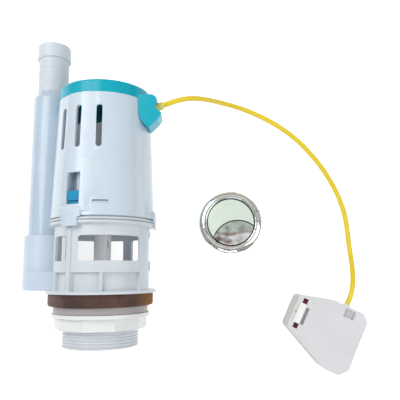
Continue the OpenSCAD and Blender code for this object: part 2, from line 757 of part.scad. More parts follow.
module volume_slider() {
    color(blue) lay() at_az(gauge_az) difference() {
        union() {
            translate([-slider_w / 2, -rod_x - 6.1, slider_z + 2.7]) cube([slider_w, 8.5, slider_h - 2.7]);
            translate([-slider_w / 2, -rod_x - 6.6, slider_z + 2.7]) cube([slider_w, 2, 1.2]);
            translate([-slider_w / 2, -rod_x - 4.8, slider_z]) cube([slider_w, 7.2, 2.8]);
        }
        rotate([0, 0, rod_az - gauge_az]) translate([0, -rod_x, slider_z - 1])
            cylinder(r = rod_r + eps, h = slider_h + 2, $fn = 24);
    }
}

module overflow_outer_tube() {
    color(white) lay() translate([overflow_x, overflow_y, 0]) rotate_extrude()
        polygon([[outer_tube_in, outer_tube_z], [outer_tube_r, outer_tube_z],
            [outer_tube_r, outer_tube_top - 6], [inner_tube_r + 0.7, outer_tube_top],
            [inner_tube_r + run_gap, outer_tube_top], [inner_tube_r + run_gap, outer_tube_top - 4],
            [outer_tube_in, outer_tube_top - 5]]);
}

module overflow_inner_tube() {
    bore = inner_tube_r - overflow_wall;
    color(white) lay() translate([overflow_x, overflow_y, 0]) {
        rotate_extrude() polygon([[bore, inner_tube_z], [inner_tube_r - 0.6, inner_tube_z],
            [inner_tube_r + 0.6, inner_tube_z + 1.4], [inner_tube_r + 0.6, inner_tube_z + 3],
            [inner_tube_r, inner_tube_z + 4], [inner_tube_r, rim_z - 0.8], [rim_r, rim_z],
            [rim_r, overflow_top - 0.6], [rim_r - 0.6, overflow_top], [bore, overflow_top]]);
        for (i = [0:mark_count - 1])
            arc_block(inner_tube_r - 0.4, inner_tube_r + 0.15, rim_z - 5.2 - i * mark_step,
                rim_z - 4 - i * mark_step, -23.6, 23.6);
    }
}

module cable_ferrule() {
    color("#e8d88a") lay() ferrule_frame() translate([0, 0, -ferrule_len]) difference() {
        cylinder(r = ferrule_r, h = ferrule_len, $fn = 36);
        translate([0, 0, -1]) cylinder(r = wire_r + 0.3, h = ferrule_len + 2, $fn = 18);
    }
}

// Smooth line through the cable's points
function spline(a, b, c, d, t) = 0.5 * (2 * b + (c - a) * t + (2 * a - 5 * b + 4 * c - d) * t * t
    + (3 * b - a - 3 * c + d) * t * t * t);
function cable_at(i, t) = let (n = len(cable_points), p = cable_points)
    spline(i > 0 ? p[i - 1] : 2 * p[0] - p[1], p[i], p[i + 1],
        i + 2 < n ? p[i + 2] : 2 * p[n - 1] - p[n - 2], t);
cable_line = concat([for (i = [0:len(cable_points) - 2]) for (t = [0, 1 / 3, 2 / 3]) cable_at(i, t)],
    [cable_points[len(cable_points) - 1]]);
function unit(v) = v / norm(v);
function line_tangent(p, i) = unit(p[min(i + 1, len(p) - 1)] - p[max(i - 1, 0)]);

// Tube with flat ends round a line that never runs straight along the given side direction
module swept_tube(p, r, sides, side_axis) {
    rings = [for (i = [0:len(p) - 1]) let (t = line_tangent(p, i), a = unit(cross(t, side_axis)),
        b = cross(t, a)) [for (k = [0:sides - 1]) p[i] + r * (cos(360 * k / sides) * a
        + sin(360 * k / sides) * b)]];
    faces = concat([[for (k = [0:sides - 1]) k]],
        [for (i = [0:len(p) - 2]) for (k = [0:sides - 1]) for (h = [0, 1]) let (n = (k + 1) % sides)
            h == 0 ? [i * sides + k, (i + 1) * sides + k, (i + 1) * sides + n]
                : [i * sides + k, (i + 1) * sides + n, i * sides + n]],
        [[for (k = [sides - 1:-1:0]) (len(p) - 1) * sides + k]]);
    polyhedron([for (ring = rings) for (q = ring) q], faces, convexity = 10);
}

module cable_sheath() {
    color(yellow) swept_tube(cable_line, sheath_r, 8, [0, 0.2, 1]);
}

// Places u, v and w of the lever box on the bench
module box_frame() {
    translate([box_place[0], box_place[1], bench_z]) rotate([0, 0, box_turn]) children();
}

module box_outline(inset) {
    offset(r = case_corner - inset, $fn = 24) offset(delta = -case_corner)
        polygon([[0, 14], [28, 22], [55, 22], [60.3, 16.5], [60.3, -26], [54, -33], [41, -33], [0, -14]]);
}

module v_cylinder(u, v0, v1, w, r, f) {
    translate([u, v0, w]) rotate([-90, 0, 0]) cylinder(r = r, h = v1 - v0, $fn = f);
}

module actuator_case() {
    post = lever_v + lever_w / 2 + 0.9;
    color(white) box_frame() difference() {
        union() {
            difference() {
                linear_extrude(case_h) box_outline(0);
                translate([0, 0, case_floor]) linear_extrude(case_h) box_outline(case_wall);
            }
            for (s = [-1, 1])
                translate([lever_x - 2.5, s > 0 ? post : -post - 2.4, case_floor - eps])
                    cube([5, 2.4, lever_pin_w + 1]);
            translate([lever_x - 2.5, -1.5, case_floor - eps]) cube([5, 3, lever_pin_w + 1]);
            translate([31, lever_v - 2, case_floor - eps])
                cube([4, 4, box_wire_w - 1.6 - case_floor + eps]);
        }
        v_cylinder(lever_x, -20, 20, lever_pin_w, lever_pin_r + eps, 24);
        v_cylinder(bush_u, bush_v - 5, bush_v + 5, box_wire_w, ferrule_r + fit_gap, 36);
    }
}

module actuator_cover() {
    color(white) box_frame() difference() {
        union() {
            translate([0, 0, case_h]) linear_extrude(cover_t) box_outline(0);
            translate([0, 0, case_h - 1]) linear_extrude(1 + eps) difference() {
                box_outline(case_wall + 0.2);
                box_outline(case_wall + 1.4);
            }
            translate([3, -8, case_h + cover_t - eps]) cube([5, 16, 0.8]);
        }
        for (s = [-1, 1])
            translate([finger_x - finger_hole / 2, s * lever_v - finger_hole / 2, case_h - 2])
                cube([finger_hole, finger_hole, 10]);
        translate([8.7, -8.05, case_h - 2]) cube([3, 14.5, 10]);
        translate([1.9, 0, case_h - 2]) cylinder(r = 0.6, h = 10, $fn = 18);
        translate([39.5, 13, case_h + cover_t - 1.5]) cube([9, 7, 3]);
    }
}

// Lever with its finger under the cover's hole; the fork stands up behind the pin
module flush_lever(v) {
    finger_u = finger_x - lever_x;
    finger_top = case_h - lever_pin_w - 2;
    color(red) box_frame() translate([lever_x, v, lever_pin_w]) difference() {
        union() {
            v_cylinder(0, -lever_w / 2, lever_w / 2, 0, hub_r, 36);
            translate([-fork_w / 2, -lever_w / 2, 0]) cube([fork_w, lever_w, wire_arm + 2.2]);
            translate([0, lever_w / 2, 0]) rotate([90, 0, 0]) linear_extrude(lever_w)
                polygon([[1, 3.2], [finger_u + 2.4, 5], [finger_u + 2.4, finger_top],
                    [finger_u - 0.4, finger_top], [finger_u - 1.4, 6], [finger_u - 1.4, 1.5], [-1, -3.3]]);
        }
        v_cylinder(0, -lever_w, lever_w, 0, lever_pin_r + 0.1, 24);
        translate([-5, -fork_gap, wire_arm - 3]) cube([10, 2 * fork_gap, 10]);
    }
}

module full_flush_lever() { flush_lever(lever_v); }
module half_flush_lever() { flush_lever(-lever_v); }

module lever_pin() {
    color("silver") box_frame() v_cylinder(lever_x, -16, 16, lever_pin_w, lever_pin_r, 24);
}

module pull_wire() {
    color("silver") box_frame()
        translate([lever_x - fork_w / 2 - barrel_end_r - pull_play, lever_v, box_wire_w])
            wire_end(17.25);
}

// Curved liner that turns the inner cable from the lever to the bush
module wire_liner() {
    r_out = 1.5;
    r_in = wire_r + run_gap;
    bend_u = bush_u - wire_bend_r;
    color("#e8e8e8") box_frame() translate([0, 0, box_wire_w]) difference() {
        union() {
            translate([29, lever_v, 0]) rotate([0, 90, 0]) cylinder(r = r_out, h = bend_u - 29, $fn = 24);
            translate([bend_u, lever_v + wire_bend_r, 0]) rotate([0, 0, -90])
                rotate_extrude(angle = 90) translate([wire_bend_r, 0]) circle(r = r_out, $fn = 24);
            v_cylinder(bush_u, lever_v + wire_bend_r, 17, 0, r_out, 24);
        }
        translate([28, lever_v, 0]) rotate([0, 90, 0]) cylinder(r = r_in, h = bend_u - 28, $fn = 18);
        translate([bend_u, lever_v + wire_bend_r, 0]) rotate([0, 0, -90])
            rotate_extrude(angle = 90) translate([wire_bend_r, 0]) circle(r = r_in, $fn = 18);
        v_cylinder(bush_u, lever_v + wire_bend_r, 18, 0, r_in, 18);
    }
}

module cable_bush() {
    color(white) box_frame() difference() {
        v_cylinder(bush_u, bush_v + bush_out - bush_len, bush_v + bush_out, box_wire_w, ferrule_r, 36);
        v_cylinder(bush_u, bush_v - 8, bush_v + 8, box_wire_w, wire_r + 0.3, 18);
    }
}

module button_frame() { translate([button_place[0], button_place[1], bench_z]) children(); }

module button_body() {
    bore = barrel_r - barrel_wall;
    well_r = push_r + 0.4;
    well_z = push_low - push_travel - 0.5;
    color("#c8ccd0") button_frame() {
        difference() {
            rotate_extrude() polygon(concat([[bore, 0]],
                thread_profile(barrel_r, barrel_r - 0.7, 0, 2, 6),
                [[barrel_r - 0.7, 12.6], [barrel_r, barrel_h], [bezel_r - 1, barrel_h],
                [bezel_r, barrel_h + 1], [bezel_r, button_h - 7], [bezel_r - 0.9, button_h - 3.6],
                [bezel_r - 2.6, button_h - 1.2], [bezel_r - 4.6, button_h], [well_r + 1, button_h],
                [well_r, button_h - 1], [well_r, well_z], [bore, well_z]]));
        }
        difference() {
            translate([0, 0, stem_hole_z[0]]) cylinder(r = bore + 0.5, h = stem_hole_z[1] - stem_hole_z[0]);
            for (s = [full_stem, half_stem]) translate([s[0], s[1], 0])
                cylinder(r = push_stem_r + 0.3, h = 20, $fn = 36);
        }
    }
}

module push_disk() {
    rotate_extrude() polygon([[0, push_low], [push_r, push_low], [push_r, push_top - 0.6],
        [push_r - 0.8, push_top], [0, push_top]]);
}

module full_flush_push() {
    color("#c9cfc9") button_frame() {
        difference() {
            push_disk();
            translate([push_split[0], push_split[1], push_low - 1])
                cylinder(r = push_split_r + run_gap, h = 10);
        }
        translate([full_stem[0], full_stem[1], stem_low])
            cylinder(r = push_stem_r, h = push_low - stem_low + eps, $fn = 36);
    }
}

module half_flush_push() {
    color("#a9adb0") button_frame() {
        intersection() {
            push_disk();
            translate([push_split[0], push_split[1], push_low - 1])
                cylinder(r = push_split_r - run_gap, h = 10);
        }
        translate([half_stem[0], half_stem[1], stem_low])
            cylinder(r = push_stem_r, h = push_low - stem_low + eps, $fn = 36);
    }
}

// Coil of wire from the guide plate up to the push
module push_spring(place) {
    z0 = stem_hole_z[1] + spring_wire + eps;
    z1 = push_low - spring_wire - eps;
    steps = spring_turns * 14;
    line = [for (i = [0:steps]) [place[0] + spring_r * cos(360 * i / 14),
        place[1] + spring_r * sin(360 * i / 14), z0 + (z1 - z0) * i / steps]];
    color("silver") button_frame() swept_tube(line, spring_wire, 6, [0, 0, 1]);
}

module full_push_spring() { push_spring(full_stem); }
module half_push_spring() { push_spring(half_stem); }

module button_washer() {
    color("#303438") button_frame() difference() {
        translate([0, 0, button_nut_z + button_nut_h]) cylinder(r = button_washer_r, h = button_washer_t);
        translate([0, 0, button_nut_z])
            cylinder(r = barrel_r + 0.3, h = button_nut_h + 2 * button_washer_t);
    }
}

module button_nut() {
    color(white) button_frame() difference() {
        translate([0, 0, button_nut_z]) cylinder(r = button_nut_r, h = button_nut_h, $fn = 8);
        translate([0, 0, button_nut_z - 1]) cylinder(r = barrel_r + 0.3, h = button_nut_h + 2);
    }
}

base_basket();
sealing_gasket();
clamp_washer();
lock_nut();
upper_housing();
top_cap();
rocker_pin();
lift_rocker();
lift_wire();
piston_tube();
seal_disc();
seal_retainer();
main_float();
half_float();
adjuster_rod();
volume_slider();
overflow_outer_tube();
overflow_inner_tube();
cable_ferrule();
cable_sheath();
actuator_case();
actuator_cover();
full_flush_lever();
half_flush_lever();
lever_pin();
pull_wire();
wire_liner();
cable_bush();
button_body();
full_flush_push();
half_flush_push();
full_push_spring();
half_push_spring();
button_washer();
button_nut();
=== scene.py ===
# %% [markdown]
# # Dressing a dual flush valve
# The solids of the valve, its lever box and its push button come packed from the CAD model.
# This lesson adds what a camera sees beyond the solids: the finish of each plastic, rubber and
# metal, the flexible cable, and the small moulded details. Sizes are in metres.

# %% Load the frame
import json
import math

import bmesh
import bpy
from mathutils import Matrix, Vector


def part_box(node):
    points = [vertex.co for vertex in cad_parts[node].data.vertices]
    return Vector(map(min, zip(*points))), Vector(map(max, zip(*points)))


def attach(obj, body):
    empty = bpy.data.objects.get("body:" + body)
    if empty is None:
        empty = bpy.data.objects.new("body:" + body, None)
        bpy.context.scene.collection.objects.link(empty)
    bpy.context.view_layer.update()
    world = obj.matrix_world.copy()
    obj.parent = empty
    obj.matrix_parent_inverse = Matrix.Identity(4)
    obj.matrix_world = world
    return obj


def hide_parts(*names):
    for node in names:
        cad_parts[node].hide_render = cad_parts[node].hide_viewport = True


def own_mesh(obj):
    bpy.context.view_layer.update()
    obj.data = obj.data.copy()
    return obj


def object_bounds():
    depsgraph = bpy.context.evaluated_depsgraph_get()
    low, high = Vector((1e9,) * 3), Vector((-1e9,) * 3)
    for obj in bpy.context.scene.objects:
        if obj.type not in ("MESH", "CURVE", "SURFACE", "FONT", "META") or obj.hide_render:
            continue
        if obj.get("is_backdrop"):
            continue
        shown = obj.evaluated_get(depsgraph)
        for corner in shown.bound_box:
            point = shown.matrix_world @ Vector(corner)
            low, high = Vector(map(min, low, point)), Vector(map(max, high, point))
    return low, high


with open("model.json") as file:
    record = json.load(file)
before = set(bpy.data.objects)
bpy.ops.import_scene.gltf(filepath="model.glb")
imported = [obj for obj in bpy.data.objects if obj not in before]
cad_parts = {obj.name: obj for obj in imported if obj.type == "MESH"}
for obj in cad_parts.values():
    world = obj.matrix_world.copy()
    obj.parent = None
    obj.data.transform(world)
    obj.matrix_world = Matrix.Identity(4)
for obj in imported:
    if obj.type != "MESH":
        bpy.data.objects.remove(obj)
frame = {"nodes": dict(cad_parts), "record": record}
cad_low, cad_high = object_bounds()
MM = 0.001
print("CAD box in millimetres", [round(side / MM, 1) for side in cad_high - cad_low])

# %% [markdown]
# ## Camera
# The valve lies on a bench and the camera hangs over it, a little towards the foot of the valve.
# The lens and the tilt were fitted to the round rims of the valve, so the camera is a fixed
# place and three small turns, and not a "look at" constraint.

# %% Camera
CAMERA_PLACE = Vector((0.0738, 0.02475, 0.3861))
CAMERA_TURNS = ((-0.36, "Z"), (8.79, "X"), (-0.84, "Y"))
CAMERA_LENS = 42.3
CAMERA_SENSOR = 36.0


def make_camera():
    data = bpy.data.cameras.new("bench_camera")
    data.sensor_width = CAMERA_SENSOR
    data.lens = CAMERA_LENS
    data.clip_start = 0.01
    camera = bpy.data.objects.new("bench_camera", data)
    turn = Matrix.Identity(4)
    for degrees, axis in CAMERA_TURNS:
        turn = turn @ Matrix.Rotation(math.radians(degrees), 4, axis)
    camera.matrix_world = Matrix.Translation(CAMERA_PLACE) @ turn
    bpy.context.scene.collection.objects.link(camera)
    bpy.context.scene.camera = camera


make_camera()
print("camera", CAMERA_LENS, "mm lens,", round(CAMERA_PLACE.z, 3), "m above the valve's axis")

# %% [markdown]
# ## Flush cable
# A Bowden cable: a stiff yellow sheath with a wire inside. It leaves the ferrule in the cap's
# lug, drops to the bench and runs round to the lever box. A Bezier curve with a round bevel keeps
# it one smooth tube. Each handle is a sixth of the step between its neighbours, which gives the
# same even curve as the solid that it stands for. The bevel is one metre deep and every point
# scales it down to the sheath's radius, because the tube's box is measured by that radius.

# %% Cable
SHEATH_RADIUS = 2.2 * MM
CABLE_ROUTE = [
    (50, 161.5, 14), (59.4, 164.9, 14), (68.5, 168, 11.5), (77, 170.7, 5.5), (85, 172.8, -2.5),
    (93, 174.5, -11), (101.5, 175.6, -19.5), (111, 175.8, -27), (121, 174.8, -33),
    (132, 172, -37.5), (143, 167.6, -40.3), (154, 161.5, -41.3), (165, 153.5, -41.3),
    (175, 144.5, -41.3), (184, 134.5, -41.3), (192, 124, -41.3), (199, 113, -41.3),
    (205, 101.5, -41.3), (210, 89, -41.3), (213.4, 76, -41.3), (215, 63, -41.3),
    (215.6, 50.5, -40.8), (215.7, 38.5, -38), (214.9, 27.5, -33), (213, 16.5, -27.6),
    (209.7, 5.5, -24.3), (205.4, -3.5, -24),
]


def smooth_tube(name, route, radius, rings=6):
    """A round tube along one open Bezier spline through the route's points."""
    curve = bpy.data.curves.new(name, "CURVE")
    curve.dimensions = "3D"
    curve.bevel_depth = 1.0
    curve.bevel_resolution = rings
    curve.resolution_u = 8
    curve.use_fill_caps = True
    spline = curve.splines.new("BEZIER")
    spline.bezier_points.add(len(route) - 1)
    last = len(route) - 1
    for i, point in enumerate(spline.bezier_points):
        place = Vector(route[i])
        before = Vector(route[i - 1]) if i > 0 else 2 * place - Vector(route[1])
        after = Vector(route[i + 1]) if i < last else 2 * place - Vector(route[last - 1])
        point.co = place
        point.radius = radius
        point.handle_left_type = point.handle_right_type = "FREE"
        point.handle_left = place - (after - before) / 6
        point.handle_right = place + (after - before) / 6
    tube = bpy.data.objects.new(name, curve)
    bpy.context.scene.collection.objects.link(tube)
    return tube


flush_cable = smooth_tube("flush_cable", [Vector(p) * MM for p in CABLE_ROUTE], SHEATH_RADIUS)
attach(flush_cable, "root")
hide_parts("cable_sheath")

# %% [markdown]
# ## Shader arithmetic
# A finish is a small sum: a base colour, plus a faint mottle, plus a speckle in the roughness.
# Blender writes such sums as nodes. This class wraps one output socket, so that a sum can be
# written as Python and still ends up as nodes. Both orders work, as in 1 - mask.


# %% Socket class
class Value:
    """A number that varies over a surface: one output socket of a finish's node tree."""

    def __init__(self, finish, socket):
        self.finish = finish
        self.socket = socket

    def _math(self, operation, first, second):
        made = self.finish.node(
            "ShaderNodeMath", {"operation": operation}, {0: first, 1: second}
        )
        return Value(self.finish, made.outputs[0])

    def __add__(self, other):
        return self._math("ADD", self, other)

    def __radd__(self, other):
        return self._math("ADD", other, self)

    def __sub__(self, other):
        return self._math("SUBTRACT", self, other)

    def __rsub__(self, other):
        return self._math("SUBTRACT", other, self)

    def __mul__(self, other):
        return self._math("MULTIPLY", self, other)

    def __rmul__(self, other):
        return self._math("MULTIPLY", other, self)


print("Value wraps a socket and adds Math nodes")

# %% [markdown]
# ## Finish class
# A finish owns a material with one Principled shader. `node` is the only way that nodes are
# made: it takes the type, the settings, and the values or links of the sockets. Colours are given
# as 0 to 255 screen values and turned into the linear values that a renderer works with.


# %% Finish class
def linear(colour):
    """Linear colour with alpha from red, green and blue as seen on a screen."""
    parts = [c / 255 for c in colour]
    return [c / 12.92 if c <= 0.04045 else ((c + 0.055) / 1.055) ** 2.4 for c in parts] + [1.0]


class Network:
    """A node tree, with one way to make a node and short ways to write what varies."""

    def __init__(self, tree, place):
        self.tree = tree
        self.tree.nodes.clear()
        self.place = Value(self, self.node("ShaderNodeTexCoord").outputs[place])

    def node(self, kind, settings=None, inputs=None):
        made = self.tree.nodes.new(kind)
        for key, value in (settings or {}).items():
            if key == "stops":
                self._set_stops(made.color_ramp, value)
            else:
                setattr(made, key, value)
        for key, value in (inputs or {}).items():
            source = value.socket if isinstance(value, Value) else value
            if isinstance(source, bpy.types.NodeSocket):
                self.tree.links.new(source, made.inputs[key])
            else:
                made.inputs[key].default_value = source
        return made

    @staticmethod
    def _set_stops(ramp, stops):
        while len(ramp.elements) < len(stops):
            ramp.elements.new(0.5)
        for element, (position, colour) in zip(ramp.elements, stops):
            element.position = position
            element.color = colour

    def noise(self, scale, detail=2.0, rough=0.5, stretch=None):
        place = self.place
        if stretch:
            place = Value(self, self.node(
                "ShaderNodeVectorMath", {"operation": "MULTIPLY"}, {0: place, 1: stretch}
            ).outputs[0])
        made = self.node("ShaderNodeTexNoise", inputs={
            "Vector": place, "Scale": scale, "Detail": detail, "Roughness": rough})
        return Value(self, made.outputs["Fac"])

    def axes(self):
        """The place along X, Y and Z."""
        made = self.node("ShaderNodeSeparateXYZ", inputs={0: self.place})
        return [Value(self, socket) for socket in made.outputs]

    def ramp(self, source, low, high):
        """0 below low and 1 above high, straight between them."""
        made = self.node("ShaderNodeMapRange", {"clamp": True}, {
            "Value": source, "From Min": low, "From Max": high})
        return Value(self, made.outputs[0])

    def patch(self, source, edges):
        """1 between two soft edges: rises over the first two numbers, falls over the others."""
        rise, top, fall, end = edges
        return self.ramp(source, rise, top) * (1 - self.ramp(source, fall, end))

    def bands(self, source, stops):
        """Grey that steps through the stops."""
        made = self.node("ShaderNodeValToRGB", {"stops": [
            (place, (grey, grey, grey, 1)) for place, grey in stops]}, {"Fac": source})
        return Value(self, made.outputs["Color"])

    def blend(self, first, second, factor):
        """Colour between two colours."""
        made = self.node("ShaderNodeMix", {"data_type": "RGBA"}, {0: factor, 6: first, 7: second})
        return Value(self, made.outputs[2])


class Finish(Network):
    """A material with a Principled shader."""

    def __init__(self, name):
        self.material = bpy.data.materials.new(name)
        self.material.use_nodes = True
        super().__init__(self.material.node_tree, "Object")
        self.shader = self.node("ShaderNodeBsdfPrincipled")
        self.output = self.node(
            "ShaderNodeOutputMaterial", inputs={"Surface": self.shader.outputs[0]})

    def set(self, numbers):
        """Numbers that are the same all over, straight on the shader's sockets."""
        for key, value in numbers.items():
            self.shader.inputs[key].default_value = value

    def feed(self, socket, source):
        """What varies, linked to one of the shader's sockets."""
        self.tree.links.new(source.socket, self.shader.inputs[socket])

    def tinted(self, colours, tints):
        """Other colours towards one end: each is (colour, axis number, start, end)."""
        for other, axis, start, end in tints:
            share = self.ramp(self.axes()[axis], start, end)
            colours = self.blend(colours, linear(other), share)
        return colours

    def relief(self, height, depth, base=None):
        """Bump of a height field, over another normal if one is given."""
        inputs = {"Height": height, "Strength": 1.0, "Distance": depth}
        if base:
            inputs["Normal"] = base
        return Value(self, self.node("ShaderNodeBump", inputs=inputs).outputs[0])

    def facing_up(self):
        """1 on a face that looks up, 0 on an upright one, as modelled."""
        place = self.node("ShaderNodeTexCoord")
        made = self.node("ShaderNodeSeparateXYZ", inputs={0: place.outputs["Normal"]})
        return Value(self, made.outputs["Z"])

    def apart_squared(self, middle):
        """Square of the distance from an upright axis."""
        x, y, _ = self.axes()
        x, y = x - middle.x, y - middle.y
        return x * x + y * y

    def on_circle(self, middle, radius, width):
        """1 on an upright cylinder's wall, 0 further than the width from it."""
        off = self.apart_squared(middle) * (0.5 / radius) - radius / 2
        return 1 - self.ramp(off * off, (0.7 * width) ** 2, width ** 2)

    def inside(self, middle, radius):
        """1 inside an upright cylinder, 0 outside it."""
        return 1 - self.ramp(self.apart_squared(middle), radius ** 2, (1.01 * radius) ** 2)

    def soft_edges(self, radius):
        """Normal that is rounded at the edges, as a mould's small radius leaves them."""
        made = self.node("ShaderNodeBevel", {"samples": 6}, {"Radius": radius})
        return Value(self, made.outputs[0])


def shade(colour, factor):
    """The same colour, lighter or darker."""
    return linear([min(255, c * factor) for c in colour])


print("Finish makes a Principled material")

# %% [markdown]
# ## Moulded plastics
# Injection moulding copies the polish of the steel mould, so the plastic shines, but it never
# shines evenly: melt that cooled at different speeds leaves a slow mottle, and handling leaves
# faint rub marks. The mottle moves the colour by about three parts in a hundred. Fine noise
# gives the roughness its speckle and a bump of a few thousandths of a millimetre. The basket and
# the plain white pieces get a faint painted glow, a light of their own that lightens their shade.
# Pieces from other moulds have other whites, so some of them have a finish of their own; the
# washer's grey is painted shade from the gasket above it. The scale of a noise is how many waves
# it has in a metre: 45 gives clouds of 2 cm, and 1400 gives fine grain.

# %% Plastic finishes
CLOUDS, RUBS, GRAIN = 45, 160, 1400
RUB_STRETCH = (1, 0.35, 1)
RUB_EDGES = (0.52, 0.74)
PLASTIC_IOR = 1.49


def moulded(name, colour, roughness=0.28, mottle=0.03, grain=0.003 * MM, edge=0.25 * MM,
            coat=0.0, specular=0.5, painted_glow=0.0, tints=()):
    """Plastic with a mottle, rub marks and rounded edges, and a faint painted glow when asked."""
    finish = Finish(name)
    slow = finish.noise(CLOUDS, detail=3)
    fine = finish.noise(GRAIN, detail=2)
    rubbed = finish.noise(RUBS, detail=5, rough=0.65, stretch=RUB_STRETCH)
    rubbed = finish.ramp(rubbed, *RUB_EDGES)
    colours = finish.blend(shade(colour, 1 - mottle), shade(colour, 1 + mottle), slow)
    colours = finish.tinted(colours, tints)
    finish.feed("Base Color", finish.blend(colours, shade(colour, 0.97), rubbed * 0.5))
    finish.feed("Roughness", roughness - 0.04 + slow * 0.05 + fine * 0.04 + rubbed * 0.08)
    rounded = finish.soft_edges(edge)
    finish.feed("Normal", finish.relief(fine + slow * 3, grain, rounded))
    finish.set({"IOR": PLASTIC_IOR, "Coat Weight": coat, "Coat Roughness": 0.08,
                "Specular IOR Level": specular})
    # Painted glow: emission that lightens the plastic where it lies in shade.
    if painted_glow:
        finish.set({"Emission Color": linear(colour), "Emission Strength": painted_glow})
    return finish.material


finishes = {
    "white_moulding": moulded("white_moulding", (224, 225, 227), 0.27, painted_glow=0.1),
    "pale_moulding": moulded("pale_moulding", (208, 222, 233), 0.2, coat=0.3),
    "grey_white_moulding": moulded("grey_white_moulding", (214, 222, 229), 0.42),
    "box_moulding": moulded("box_moulding", (217, 218, 220), 0.4),
    "turquoise_moulding": moulded("turquoise_moulding", (0, 172, 192), 0.24, coat=0.12,
                                  specular=0.25),
    "blue_moulding": moulded("blue_moulding", (10, 146, 190), 0.25),
    "red_moulding": moulded("red_moulding", (176, 58, 70), 0.38, mottle=0.08),
    "cream_moulding": moulded("cream_moulding", (226, 222, 150), 0.35),
}
piece_finishes = {
    "base_basket": moulded("basket_moulding", (203, 218, 232), 0.3, edge=0.5 * MM, painted_glow=0.05,
                           tints=(((209, 216, 220), 0, -46 * MM, -36 * MM),
                                  ((217, 220, 224), 1, -3 * MM, -12 * MM))),
    "lock_nut": moulded("nut_moulding", (236, 238, 238), 0.3, edge=0.5 * MM),
    # The washer is painted grey as painted shade: it lies in the gasket's shadow.
    "clamp_washer": moulded("washer_painted_shade", (176, 173, 171), 0.4),
    "overflow_outer_tube": moulded("tube_moulding", (194, 211, 226), 0.22, coat=0.25),
    "adjuster_rod": moulded("rod_moulding", (206, 217, 226), 0.32),
    "cable_ferrule": moulded("ferrule_moulding", (244, 224, 116), 0.35),
    "actuator_case": moulded("case_moulding", (203, 197, 188), 0.45),
}
print(len(finishes) + len(piece_finishes), "plastic finishes")

# %% [markdown]
# ## Cable sheath, rubber and foam
# The sheath is extruded PVC, with a soft shine, a fine grain and a few scuffs. The gasket is foam
# rubber, matt and full of small pores, so its bump comes from a cell pattern; the pores are also
# painted darker, as painted shade in them.

# %% Soft finishes
SHEATH_CLOUDS, SHEATH_SCUFFS, SHEATH_GRAIN = 90, 420, 1800
SHEATH_DEPTH = 0.006 * MM
SHEATH_IOR = 1.52
RUBBER_CLOUDS, RUBBER_GRAIN = 70, 1500
PORE_EDGES = (0.12, 0.42)
GASKET_PORES, GASKET_DEPTH = 900, 0.12 * MM
SEAL_PORES, SEAL_DEPTH = 1600, 0.03 * MM


def sheath_finish(name, colour):
    """Smooth extruded plastic with small scuffs."""
    finish = Finish(name)
    slow = finish.noise(SHEATH_CLOUDS, detail=3)
    fine = finish.noise(SHEATH_GRAIN, detail=2)
    scuff = finish.ramp(finish.noise(SHEATH_SCUFFS, detail=4, rough=0.7), 0.6, 0.78)
    colours = finish.blend(shade(colour, 0.95), shade(colour, 1.04), slow)
    finish.feed("Base Color", finish.blend(colours, shade(colour, 0.86), scuff * 0.35))
    finish.feed("Roughness", 0.3 + slow * 0.08 + scuff * 0.15)
    finish.feed("Normal", finish.relief(fine + slow * 2, SHEATH_DEPTH))
    finish.set({"IOR": SHEATH_IOR})
    return finish.material


def rubber_finish(name, colour, tint, pores, depth, tints=()):
    """Matt rubber that wanders between two colours and has pores of a given depth."""
    finish = Finish(name)
    cells = Value(finish, finish.node("ShaderNodeTexVoronoi", {"feature": "F1"}, {
        "Vector": finish.place, "Scale": pores, "Randomness": 1.0}).outputs["Distance"])
    slow = finish.noise(RUBBER_CLOUDS, detail=4)
    fine = finish.noise(RUBBER_GRAIN, detail=3)
    pore = 1 - finish.ramp(cells, *PORE_EDGES)
    colours = finish.blend(shade(colour, 0.86), shade(tint, 1.0), finish.ramp(slow, 0.35, 0.7))
    colours = finish.tinted(colours, tints)
    # Pores are painted darker: painted shade in them.
    finish.feed("Base Color", finish.blend(colours, shade(colour, 0.5), pore * 0.65))
    finish.feed("Roughness", 0.66 + slow * 0.14 + fine * 0.08)
    rounded = finish.soft_edges(0.5 * MM)
    finish.feed("Normal", finish.relief(fine * 0.6 - pore, depth, rounded))
    return finish.material


finishes["yellow_sheath"] = sheath_finish("yellow_sheath", (240, 212, 40))
# Towards the left end the gasket is painted a lighter grey-brown, a painted highlight, then olive at
# its edge; towards the right end it turns orange.
finishes["brown_rubber"] = rubber_finish(
    "brown_rubber", (78, 56, 49), (96, 68, 55), GASKET_PORES, GASKET_DEPTH,
    tints=(((116, 98, 94), 0, -20 * MM, -34 * MM), ((128, 110, 66), 0, -35 * MM, -41 * MM),
           ((138, 90, 22), 0, 30 * MM, 41 * MM)))
finishes["black_rubber"] = rubber_finish(
    "black_rubber", (46, 48, 52), (58, 60, 64), SEAL_PORES, SEAL_DEPTH)
print("sheath and rubbers ready")

# %% [markdown]
# ## Plated and drawn metal
# The button is plastic with a bright chrome plate, and its large push has a satin plate. Plate
# mirrors the room, so its own colour hardly shows: what matters is a low and slightly uneven
# roughness. The small push is crowned by about 0.4 mm across its width, which is what bends the
# room in it, so a shallow dome is added to its normal. Painted shade darkens the upright walls
# of the gaps round the pushes and a thin line along their edges: one round both pushes, and one
# where a circle splits them. A few specks of the bezel's plate are nicked and take the same dark
# colour. The wires are drawn steel.

# %% Metal finishes
PLATE_CLOUDS, PLATE_SWELL, PLATE_SWIRLS, PLATE_NICKS, PLATE_GRAIN = 60, 150, 240, 430, 2200
NICK_EDGES = (0.76, 0.8)
UPRIGHT_EDGES = (0.3, 0.7)
NICK_AND_GAP_SHADE = (44, 46, 46)
GAP_LINE = 0.55 * MM
WELL_RADIUS = 20.9 * MM
body_low, body_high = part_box("button_body")
button_middle = (body_low + body_high) / 2
WELL_FLOOR = body_low.z + 15.3 * MM


